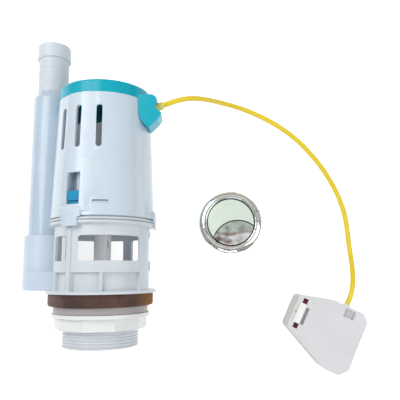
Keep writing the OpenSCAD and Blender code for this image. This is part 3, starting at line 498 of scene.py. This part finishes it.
def plated(name, colour, roughness, spread, wave, edge=0.2 * MM, crown=None, gaps=None,
           swell=0.0, nicks=False):
    """Metal; if gaps are given, the well's walls and a line on each (middle, radius) get painted
    shade.
    """
    finish = Finish(name)
    slow = finish.noise(PLATE_CLOUDS, detail=2)
    fine = finish.noise(PLATE_GRAIN, detail=2)
    swirl = finish.ramp(finish.noise(PLATE_SWIRLS, detail=5, rough=0.7), 0.55, 0.8)
    colours = finish.blend(shade(colour, 0.97), shade(colour, 1.02), slow)
    if gaps is not None:
        # Painted shade on the well's upright walls, and a painted shade line along each gap.
        upright = 1 - finish.ramp(finish.facing_up(), *UPRIGHT_EDGES)
        above_floor = finish.ramp(finish.axes()[2], WELL_FLOOR - 0.5 * MM, WELL_FLOOR)
        in_well = finish.inside(button_middle, WELL_RADIUS + 0.2 * MM) * above_floor
        colours = finish.blend(colours, linear(NICK_AND_GAP_SHADE), upright * in_well)
        for middle, radius in gaps:
            colours = finish.blend(colours, linear(NICK_AND_GAP_SHADE), finish.on_circle(middle, radius, GAP_LINE))
    if nicks:
        speck = finish.ramp(finish.noise(PLATE_NICKS, detail=0), *NICK_EDGES)
        colours = finish.blend(colours, linear(NICK_AND_GAP_SHADE), speck * 0.8)
    finish.feed("Base Color", colours)
    finish.feed("Roughness", roughness + slow * spread + fine * spread * 0.5 + swirl * spread)
    normal = finish.soft_edges(edge)
    if crown:
        middle, radius = crown
        normal = finish.relief(finish.apart_squared(middle) * (-0.5 / radius), 1.0, normal)
    height = slow * 8 + fine
    if swell:
        height = height + finish.noise(PLATE_SWELL, detail=2) * swell
    finish.feed("Normal", finish.relief(height, wave, normal))
    finish.set({"Metallic": 1.0})
    return finish.material


PUSH_CROWN = 0.13
small_push_low, small_push_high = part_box("half_flush_push")
small_push_middle = (small_push_low + small_push_high) / 2
PUSH_RADIUS = 20.7 * MM
PUSH_SPLIT = Vector((5.8, -20.9, 0)) * MM
SPLIT_RADIUS = 22.4 * MM
push_gaps = ((button_middle, PUSH_RADIUS), (button_middle + PUSH_SPLIT, SPLIT_RADIUS))

finishes["chrome_plate"] = plated(
    "chrome_plate", (226, 229, 227), 0.03, 0.02, 0.006 * MM, swell=30, nicks=True)
finishes["satin_plate"] = plated(
    "satin_plate", (229, 242, 230), 0.4, 0.05, 0.002 * MM, gaps=push_gaps)
piece_finishes["half_flush_push"] = plated(
    "crowned_chrome", (222, 225, 222), 0.02, 0.015, 0.012 * MM,
    crown=(small_push_middle, PUSH_CROWN), gaps=push_gaps)
piece_finishes["button_body"] = plated(
    "barrel_chrome", (200, 203, 204), 0.12, 0.06, 0.006 * MM, gaps=())
finishes["steel_wire"] = plated("steel_wire", (196, 198, 202), 0.24, 0.1, 0.004 * MM)
print("metal finishes ready")

# %% [markdown]
# ## Giving each solid its finish
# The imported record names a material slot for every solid. The finishes carry the same names, so
# one loop dresses all of them. A piece with a finish of its own takes that one instead.


# %% Dress the solids
def dress(piece, finish):
    """Puts one finish on every material slot of a piece."""
    if not piece.material_slots:
        piece.data.materials.append(finish)
    for slot in piece.material_slots:
        slot.material = finish


for part in frame["record"]["subparts"]:
    name = part["node"]
    dress(frame["nodes"][name], piece_finishes.get(name, finishes[part["material_slot"]]))
dress(flush_cable, finishes["yellow_sheath"])

# %% [markdown]
# ## Closed shapes
# The small moulded details are thin closed solids laid on the CAD solids or let into them. Two
# makers are enough: one stitches rows of points into a tube or slab with ends, and one turns a
# profile round an axis. Every edge sharper than 30 degrees stays sharp, unless another angle is
# given.


# %% Shape makers
SHARP = math.radians(30)


def finished_piece(name, shape, finish, sharp):
    """A closed mesh with smooth faces and sharp edges, riding on the fixed body."""
    bmesh.ops.recalc_face_normals(shape, faces=shape.faces)
    mesh = bpy.data.meshes.new(name)
    shape.to_mesh(mesh)
    shape.free()
    mesh.shade_smooth()
    mesh.set_sharp_from_angle(angle=sharp)
    piece = bpy.data.objects.new(name, mesh)
    bpy.context.scene.collection.objects.link(piece)
    dress(piece, finish)
    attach(piece, "root")
    print(name, "has", len(mesh.polygons), "faces")
    return piece


def stitched(name, loops, finish, ring=False, sharp=SHARP):
    """Solid through loops of equal length; a ring joins its last loop to the first."""
    shape = bmesh.new()
    rows = [[shape.verts.new(point) for point in loop] for loop in loops]
    count = len(rows[0])
    pairs = list(zip(rows, rows[1:] + rows[:1] if ring else rows[1:]))
    for first, second in pairs:
        for k in range(count):
            after = (k + 1) % count
            shape.faces.new((first[k], first[after], second[after], second[k]))
    if not ring:
        shape.faces.new(rows[0])
        shape.faces.new(rows[-1])
    return finished_piece(name, shape, finish, sharp)


def turned(name, profile, to_point, finish, steps=120):
    """Ring made by a profile of (radius, height) that is turned round an axis."""
    loops = [[to_point(radius, 360 * i / steps, height) for radius, height in profile]
             for i in range(steps)]
    return stitched(name, loops, finish, ring=True)


def on_valve(radius, azimuth, height):
    """Place round the valve's axis, in degrees from the front towards +X."""
    angle = math.radians(azimuth)
    return Vector((radius * math.sin(angle), height, radius * math.cos(angle)))


print("shape makers ready")

# %% [markdown]
# ## Run-out of the front panel
# The housing has a raised panel round the slider's window. Its left edge is a step, but on the
# right it runs out into the cone with no edge at all. The solid has a step there too, so a wedge
# is laid against it. Its height falls along a half cosine, which starts and ends level. Near the
# slots and the hook pocket the wedge has to end sooner, so its far edge moves with the height.

# %% Panel run-out
HOUSING_FOOT, HOUSING_TOP = 67.6 * MM, 164.5 * MM
FOOT_RADIUS, TOP_RADIUS = 41.55 * MM, 37.9 * MM
PANEL_COVER = 0.03 * MM
WEDGE_DEPTH = 0.5 * MM
WEDGE_TUCK = 0.5
FAR_EDGE, POCKET_EDGE, SLOT_EDGE = 14.0, -2.6, -0.4
POCKET_CLEAR, SLOT_CLEAR = (11.5, 22), (36, 51.5)
BETWEEN_THEM = 30
PANEL_STEP = HOUSING_FOOT + 44.4 * MM


def housing_radius(height):
    """Outer radius of the housing's cone."""
    share = (height - HOUSING_FOOT) / (HOUSING_TOP - HOUSING_FOOT)
    return FOOT_RADIUS + (TOP_RADIUS - FOOT_RADIUS) * share


def smooth_step(value, low, high):
    share = min(1.0, max(0.0, (value - low) / (high - low)))
    return share * share * (3 - 2 * share)


def wedge_end(height):
    """Direction where the wedge has run out, in degrees."""
    rise = (height - HOUSING_FOOT) / MM
    wide = smooth_step(rise, *POCKET_CLEAR) * (1 - smooth_step(rise, *SLOT_CLEAR))
    near = POCKET_EDGE if rise < BETWEEN_THEM else SLOT_EDGE
    return near + (FAR_EDGE - near) * wide


def panel_wedge(name, proud, start, low, high, rows=44, columns=20):
    """Wedge against the panel's step, from its direction to where it has run out."""
    loops = []
    for i in range(rows + 1):
        height = low + (high - low) * i / rows
        base, end = housing_radius(height), wedge_end(height)
        outside, inside = [], []
        for k in range(columns + 1):
            share = k / columns
            azimuth = start - WEDGE_TUCK + (end - start + WEDGE_TUCK) * share
            fall = (1 + math.cos(math.pi * share)) / 2
            outside.append(on_valve(base + PANEL_COVER + proud * fall, azimuth, height))
            inside.append(on_valve(base - WEDGE_DEPTH, azimuth, height))
        loops.append(outside + inside[::-1])
    return stitched(name, loops, wedge_finish)


wedge_finish = moulded("wedge_moulding", (208, 222, 233), 0.34, coat=0.1)
panel_wedge("panel_wedge_low", 1.2 * MM, -10, HOUSING_FOOT + 3 * MM, PANEL_STEP)
panel_wedge("panel_wedge_high", 0.8 * MM, -12, PANEL_STEP, HOUSING_TOP - 0.05 * MM)

# %% [markdown]
# ## Pockets and channel of the housing
# Under each hook of the lower body the housing has a blind pocket with a ramp for a floor,
# deepest at its upper edge; the floor darkens towards that edge, painted shade of the pocket's
# top wall. Behind the slider's window runs a channel that guides the slider and hides the float.
# Both are let into the housing's wall from the inside.

# %% Pocket floors and slider channel
HOOK_AZIMUTHS = (7.3, 127.3, 247.3)
POCKET_LOW, POCKET_HIGH = 8.3 * MM, 12 * MM
POCKET_SPREAD = 9.6
POCKET_STEP, POCKET_DEPTH, POCKET_BACK = 0.12 * MM, 1.5 * MM, 1.9 * MM
SLIDER_AZIMUTH = -22.2
CHANNEL_HALF, CHANNEL_WALL = 7.2, 1.2
CHANNEL_BACK, CHANNEL_FRONT = 30.6, 38.6
CHANNEL_FOOT, CHANNEL_TOP = 7.4, 33.9


def pocket_floor(name, azimuth, steps=12):
    """Ramp that closes one hook pocket from the inside."""
    loops = []
    for i in range(steps + 1):
        side = azimuth + POCKET_SPREAD * (2 * i / steps - 1)
        low, high = HOUSING_FOOT + POCKET_LOW, HOUSING_FOOT + POCKET_HIGH
        loops.append([
            on_valve(housing_radius(low) - POCKET_STEP, side, low),
            on_valve(housing_radius(high) - POCKET_DEPTH, side, high),
            on_valve(housing_radius(high) - POCKET_BACK, side, high),
            on_valve(housing_radius(low) - POCKET_BACK, side, low),
        ])
    return stitched(name, loops, pocket_shade_finish)


# Painted shade: the floor turns dark grey near the pocket's upper edge.
pocket_shade_finish = moulded("pocket_painted_shade", (202, 216, 226), 0.35, tints=(
    ((92, 100, 108), 1, HOUSING_FOOT + 10.2 * MM, HOUSING_FOOT + 11.2 * MM),))
for number, azimuth in enumerate(HOOK_AZIMUTHS, 1):
    pocket_floor(f"hook_pocket_{number}", azimuth)

inner_half = CHANNEL_HALF - CHANNEL_WALL
inner_back = CHANNEL_BACK + CHANNEL_WALL
channel_outline = [
    (-CHANNEL_HALF, CHANNEL_FRONT), (-CHANNEL_HALF, CHANNEL_BACK),
    (CHANNEL_HALF, CHANNEL_BACK), (CHANNEL_HALF, CHANNEL_FRONT),
    (inner_half, CHANNEL_FRONT), (inner_half, inner_back),
    (-inner_half, inner_back), (-inner_half, CHANNEL_FRONT),
]
across = on_valve(1, SLIDER_AZIMUTH + 90, 0)
outward = on_valve(1, SLIDER_AZIMUTH, 0)
channel_loops = [
    [(across * t + outward * r) * MM + Vector((0, HOUSING_FOOT + rise * MM, 0))
     for t, r in channel_outline]
    for rise in (CHANNEL_FOOT, CHANNEL_TOP)
]
channel_finish = moulded("channel_moulding", (190, 205, 216), 0.35)
stitched("slider_channel", channel_loops, channel_finish)

# %% [markdown]
# ## Beads of the lip
# The lower body ends in a lip with a fine groove round it. Two flat beads, one on each side of
# the groove, stand 0.28 mm proud of the lip and leave the groove between them.
# Its floor is greyer, because light hardly reaches it.

# %% Lip beads
LIP_RADIUS = 41.8 * MM
LIP_INSIDE = LIP_RADIUS - 0.3 * MM
BEAD_RADIUS = 42.08 * MM
BEAD_SHOULDER = BEAD_RADIUS - 0.08 * MM
BEAD_BEVEL = 0.12
GROOVE_LOW, GROOVE_HIGH, GROOVE_FLOOR = 63.9 * MM, 65.0 * MM, LIP_RADIUS + 0.04 * MM
basket_finish = piece_finishes["base_basket"]
for bead, low, high in (("lip_bead_low", 62.4, 64.0), ("lip_bead_high", 64.9, 66.1)):
    profile = [
        (LIP_INSIDE, low * MM), (BEAD_SHOULDER, low * MM),
        (BEAD_RADIUS, (low + BEAD_BEVEL) * MM), (BEAD_RADIUS, (high - BEAD_BEVEL) * MM),
        (BEAD_SHOULDER, high * MM), (LIP_INSIDE, high * MM),
    ]
    turned(bead, profile, on_valve, basket_finish)
groove_finish = moulded("groove_moulding", (150, 154, 158), 0.5)
groove_profile = [(LIP_INSIDE, GROOVE_LOW), (GROOVE_FLOOR, GROOVE_LOW),
                  (GROOVE_FLOOR, GROOVE_HIGH), (LIP_INSIDE, GROOVE_HIGH)]
turned("lip_groove", groove_profile, on_valve, groove_finish)

# %% [markdown]
# ## Rolled bezel
# The chromed bezel is rolled: its top is a true round, and the light runs round it in thin lines.
# The solid has four flats there. A ring with an arc of 6 mm lies over them. It stands a quarter
# of a millimetre proud at its crest and less at its rim, and its foot is let into the solid.

# %% Bezel
bezel_radius = (body_high.x - body_low.x) / 2
BEZEL_ROLL = 6.0 * MM
INNER_ROLL = 1.1 * MM
BEZEL_PROUD = 0.25 * MM
RIM_PROUD = 0.03 * MM


def on_button(radius, azimuth, height):
    angle = math.radians(azimuth)
    return Vector((button_middle.x + radius * math.cos(angle),
                   button_middle.y + radius * math.sin(angle), height))


def arc(middle, radius, start, end, steps):
    """Points (radius, height) on an arc, in degrees from outward to up."""
    turns = [math.radians(start + (end - start) * i / steps) for i in range(steps + 1)]
    return [(middle[0] + radius * math.cos(t), middle[1] + radius * math.sin(t)) for t in turns]


crest = body_high.z + BEZEL_PROUD
rim = bezel_radius + RIM_PROUD
bezel_foot = body_low.z + 15.6 * MM
outer_arc = arc((rim - BEZEL_ROLL, crest - BEZEL_ROLL), BEZEL_ROLL, 0, 90, 20)
inner_arc = arc((WELL_RADIUS + INNER_ROLL, crest - INNER_ROLL), INNER_ROLL, 90, 180, 8)
let_in = [(WELL_RADIUS + 1.6 * MM, crest - 2.4 * MM), (bezel_radius - 3 * MM, crest - 5 * MM)]
bezel_profile = [(bezel_radius - 1.5 * MM, bezel_foot), (rim, bezel_foot + 0.2 * MM)]
bezel_profile += outer_arc + inner_arc + let_in
turned("bezel_plate", bezel_profile, on_button, finishes["chrome_plate"], 180)

# %% [markdown]
# ## Details of the lever box
# Between the two lever holes lies a whiter plate, and beside it a narrow slot that ends on a
# floor painted dark grey, painted shade of the slot. A third plate lies in a small recess and
# makes its floor greyer, painted shade of the recess. All three are placed in the box's own
# directions: along it, across it, and up from its cover.

# %% Lever box details
BOX_CORNER = Vector((158.3, -7.05, 0)) * MM
BOX_TURN = -25.5
GUARD_RISE = 0.8 * MM
along = Vector((math.cos(math.radians(BOX_TURN)), math.sin(math.radians(BOX_TURN)), 0))
athwart = Vector((-along.y, along.x, 0))
cover_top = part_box("actuator_cover")[1].z - GUARD_RISE


def box_slab(name, low, high, foot, top, corner, finish, steps=5):
    """Flat plate with round corners on the lever box; sizes in millimetres."""
    middle = [(low[0] + high[0]) / 2, (low[1] + high[1]) / 2]
    half = [(high[0] - low[0]) / 2 - corner, (high[1] - low[1]) / 2 - corner]
    outline = []
    for quarter, (sx, sy) in enumerate(((1, 1), (-1, 1), (-1, -1), (1, -1))):
        for i in range(steps + 1):
            turn = math.radians(90 * quarter + 90 * i / steps)
            outline.append((middle[0] + sx * half[0] + corner * math.cos(turn),
                            middle[1] + sy * half[1] + corner * math.sin(turn)))

    def loop(shrink, height):
        return [BOX_CORNER + (along * (middle[0] + (u - middle[0]) * shrink)
                              + athwart * (middle[1] + (v - middle[1]) * shrink)) * MM
                + Vector((0, 0, cover_top + height * MM)) for u, v in outline]

    loops = [loop(1, foot), loop(1, top - 0.25), loop(0.97, top - 0.06), loop(0.94, top)]
    return stitched(name, loops, finish)


guard_finish = moulded("guard_moulding", (243, 243, 240), 0.3)
box_slab("guard_plate", (2.5, -8.4), (8.3, 8.4), -0.3, 1.0, 0.8, guard_finish)
# Painted shade: the slot's floor is dark grey.
slot_shade_finish = moulded("slot_painted_shade", (164, 163, 162), 0.45, mottle=0.16)
box_slab("slot_floor", (8.4, -8.4), (12, 6.8), -2.35, -1.7, 0.2, slot_shade_finish)
# Painted shade: the recess floor is greyer than the box.
recess_shade_finish = moulded("recess_painted_shade", (190, 188, 190), 0.45, mottle=0.08)
box_slab("recess_floor", (39.7, 13.2), (48.3, 19.8), -1.7, -1.38, 0.3, recess_shade_finish)

# %% [markdown]
# ## Push springs
# Under each push stands a small coil spring. It is swept here as a round wire along a helix.

# %% Springs
SPRING_RADIUS = 4.6 * MM
SPRING_WIRE = 0.5 * MM
SPRING_TURNS = 5
SPRING_STEPS = 28
WIRE_SIDES = 10
WIRE_SHARP = math.radians(60)


def coil_spring(name, node):
    """Round wire on a helix in the room of a plain solid, which it replaces."""
    low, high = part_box(node)
    middle = (low + high) / 2
    foot, top = low.z + SPRING_WIRE, high.z - SPRING_WIRE
    upward = Vector((0, 0, 1))
    loops = []
    steps = SPRING_TURNS * SPRING_STEPS
    for i in range(steps + 1):
        angle = 2 * math.pi * i / SPRING_STEPS
        out = Vector((math.cos(angle), math.sin(angle), 0))
        height = foot + (top - foot) * i / steps
        centre = Vector((middle.x, middle.y, height)) + out * SPRING_RADIUS
        turns = [2 * math.pi * k / WIRE_SIDES for k in range(WIRE_SIDES)]
        loops.append([centre + (out * math.cos(t) + upward * math.sin(t)) * SPRING_WIRE
                      for t in turns])
    spring = stitched(name, loops, finishes["steel_wire"], sharp=WIRE_SHARP)
    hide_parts(node)
    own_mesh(spring)


coil_spring("full_spring_wire", "full_push_spring")
coil_spring("half_spring_wire", "half_push_spring")

# %% [markdown]
# ## Bench and backdrop
# The set stands on a plain white bench. A camera ray, a glossy ray and a ray through glass see
# some light of its own in the bench, so it reads as white, while the shadow of the valve stays.
# For all other rays it is an ordinary pale surface, so it throws no extra light on the valve.

# %% Bench
BENCH_HALF = 3.0
BENCH_COLOUR = (214, 215, 216)
BENCH_GLOW = 0.78
bench_height = cad_low.z


def seen_directly(finish):
    """1 for rays of the camera, of reflections and of glass, else 0."""
    ray = finish.node("ShaderNodeLightPath")
    seen = Value(finish, ray.outputs["Is Camera Ray"]) + Value(finish, ray.outputs["Is Glossy Ray"])
    return finish.node("ShaderNodeMath", {"operation": "MINIMUM"}, {
        0: seen + Value(finish, ray.outputs["Is Transmission Ray"]), 1: 1.0})


def make_bench():
    finish = Finish("bench_paint")
    finish.tree.nodes.remove(finish.shader)
    seen = Value(finish, seen_directly(finish).outputs[0])
    matt = finish.node("ShaderNodeBsdfDiffuse", inputs={"Color": linear(BENCH_COLOUR)})
    glow = finish.node("ShaderNodeEmission", inputs={"Strength": seen * BENCH_GLOW})
    both = finish.node("ShaderNodeAddShader", inputs={0: matt.outputs[0], 1: glow.outputs[0]})
    finish.tree.links.new(both.outputs[0], finish.output.inputs["Surface"])
    mesh = bpy.data.meshes.new("bench")
    half = BENCH_HALF
    corners = [(-half, -half, 0), (half, -half, 0), (half, half, 0), (-half, half, 0)]
    mesh.from_pydata(corners, [], [(0, 1, 2, 3)])
    bench = bpy.data.objects.new("bench", mesh)
    bench.location = (0, 0, bench_height)
    bpy.context.scene.collection.objects.link(bench)
    dress(bench, finish.material)
    bench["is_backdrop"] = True


make_bench()
print("bench at", round(bench_height / MM, 1), "mm")

# %% [markdown]
# ## Light
# A photographer would use large soft boxes: the strongest high at the upper left of the picture,
# a weaker one on the right, the weakest past the foot of the valve, and white walls all round.
# The level is set so that a colour renders about as it is written. The walls are the world: even
# for the light they give, and banded where they are mirrored, because chrome needs something
# darker to show its shape.

# %% Light
WORLD_LIGHT = 0.5
WORLD_TINT = (0.97, 0.985, 1.0, 1)
PLAIN_WHITE = (1, 1, 1, 1)
BOXES = (
    ("key_box", (-0.42, 0.42, 0.72), (0.6, 0.6), 4.0),
    ("fill_box", (0.75, -0.15, 0.6), (0.5, 0.7), 2.2),
    ("foot_box", (0.05, -0.75, 0.4), (0.6, 0.4), 1.5),
)
LIGHT_TARGET = Vector((0.07, 0.06, 0))
WALL_BANDS = ((0.0, 0.4), (0.06, 0.05), (0.2, 0.1), (0.28, 0.7), (0.46, 0.8), (0.52, 0.08),
              (0.56, 0.1), (0.62, 0.75), (0.7, 0.35), (0.78, 0.8), (1.0, 1.0))
CEILING_GREY = (190, 202, 194)
CEILING_BROWN = (150, 122, 112)
CEILING_LINE = (74, 84, 80)
WALL_ORANGE = (206, 148, 92)
GREY_EDGES = (0.12, 0.135, 0.3, 0.34)
BROWN_EDGES = (0.07, 0.08, 0.105, 0.12)
LEFT_BROWN_EDGES = (-0.05, -0.035, 0.005, 0.02)
ROOM_WAVES, ROOM_RIPPLES, ROOM_CREASES = 3.5, 11, 6.5
NEAR_SIDE, LEFT_SIDE, OVERHEAD = (0.0, 0.5), (0.02, 0.06), (0.8, 0.88)
NEAR_BROWN, NEAR_BROWN_FOOT = (0.3, 0.4), (0.3, 0.38)
CREASE_EDGES = (0.00005, 0.0006)
ORANGE_EDGES, ORANGE_TOP = (0.5, 0.7), (0.2, 0.28)


def soft_box(name, place, size, power):
    """Rectangular lamp aimed at the set, which the camera doesn't see."""
    light = bpy.data.lights.new(name, "AREA")
    light.shape = "RECTANGLE"
    light.size, light.size_y = size
    light.energy = power
    box = bpy.data.objects.new(name, light)
    box.location = place
    box.rotation_euler = (LIGHT_TARGET - Vector(place)).to_track_quat("-Z", "Y").to_euler()
    box.visible_camera = False
    bpy.context.scene.collection.objects.link(box)


def mirrored_room(room):
    """What metal shows: dark bands on the walls, grey and brown patches and thin lines overhead,
    brown on the near wall, and an orange glow low on the far one."""
    x, y, z = room.axes()
    wave = room.noise(ROOM_WAVES, detail=3) - 0.5
    ripple = room.noise(ROOM_RIPPLES, detail=3) - 0.5
    near_side = room.ramp(0 - y, *NEAR_SIDE)
    walls = room.bands(z + wave * (0.16 + near_side * 0.3) + ripple * near_side * 0.1, WALL_BANDS)
    overhead = room.ramp(z, *OVERHEAD)
    side = y + wave * 0.25 + ripple * 0.06
    grey = room.patch(side, GREY_EDGES)
    brown = room.patch(side, BROWN_EDGES)
    left = 1 - room.ramp(x + ripple * 0.2, *LEFT_SIDE)
    left_brown = room.patch(side, LEFT_BROWN_EDGES) * left
    near_brown = room.ramp(0 - y + wave * 0.5, *NEAR_BROWN)
    near_brown = near_brown * room.ramp(z + ripple * 0.5, *NEAR_BROWN_FOOT)
    crease = room.noise(ROOM_CREASES, detail=3) - 0.5
    line = (1 - room.ramp(crease * crease, *CREASE_EDGES)) * overhead
    orange = room.ramp(y - x * 0.3, *ORANGE_EDGES) * (1 - room.ramp(z, *ORANGE_TOP))
    colour = room.blend(walls, linear(CEILING_GREY), grey * overhead * 0.9)
    colour = room.blend(colour, linear(WALL_ORANGE), orange)
    colour = room.blend(colour, linear(CEILING_BROWN), (brown + left_brown) * overhead)
    colour = room.blend(colour, linear(CEILING_BROWN), near_brown * 0.6)
    return room.blend(colour, linear(CEILING_LINE), line * 0.9)


def make_world():
    world = bpy.data.worlds.new("studio")
    world.use_nodes = True
    room = Network(world.node_tree, "Generated")
    ray = room.node("ShaderNodeLightPath")
    even = room.node("ShaderNodeBackground", inputs={
        "Color": WORLD_TINT, "Strength": WORLD_LIGHT})
    mirrored = room.node("ShaderNodeBackground", inputs={"Color": mirrored_room(room)})
    white = room.node("ShaderNodeBackground", inputs={"Color": PLAIN_WHITE})
    first = room.node("ShaderNodeMixShader", inputs={
        0: ray.outputs["Is Glossy Ray"], 1: even.outputs[0], 2: mirrored.outputs[0]})
    second = room.node("ShaderNodeMixShader", inputs={
        0: ray.outputs["Is Camera Ray"], 1: first.outputs[0], 2: white.outputs[0]})
    room.node("ShaderNodeOutputWorld", inputs={"Surface": second.outputs[0]})
    bpy.context.scene.world = world


make_world()
for box in BOXES:
    soft_box(*box)
bpy.context.scene.view_settings.view_transform = "Standard"
print(len(BOXES), "soft boxes and an even world of", WORLD_LIGHT)

# %% [markdown]
# ## Size
# The dressing must not change the object's size, so both boxes are written down to compare.

# %% Size and finish
bpy.context.view_layer.update()
low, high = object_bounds()
print("visual box in millimetres", [round(side / MM, 1) for side in high - low])
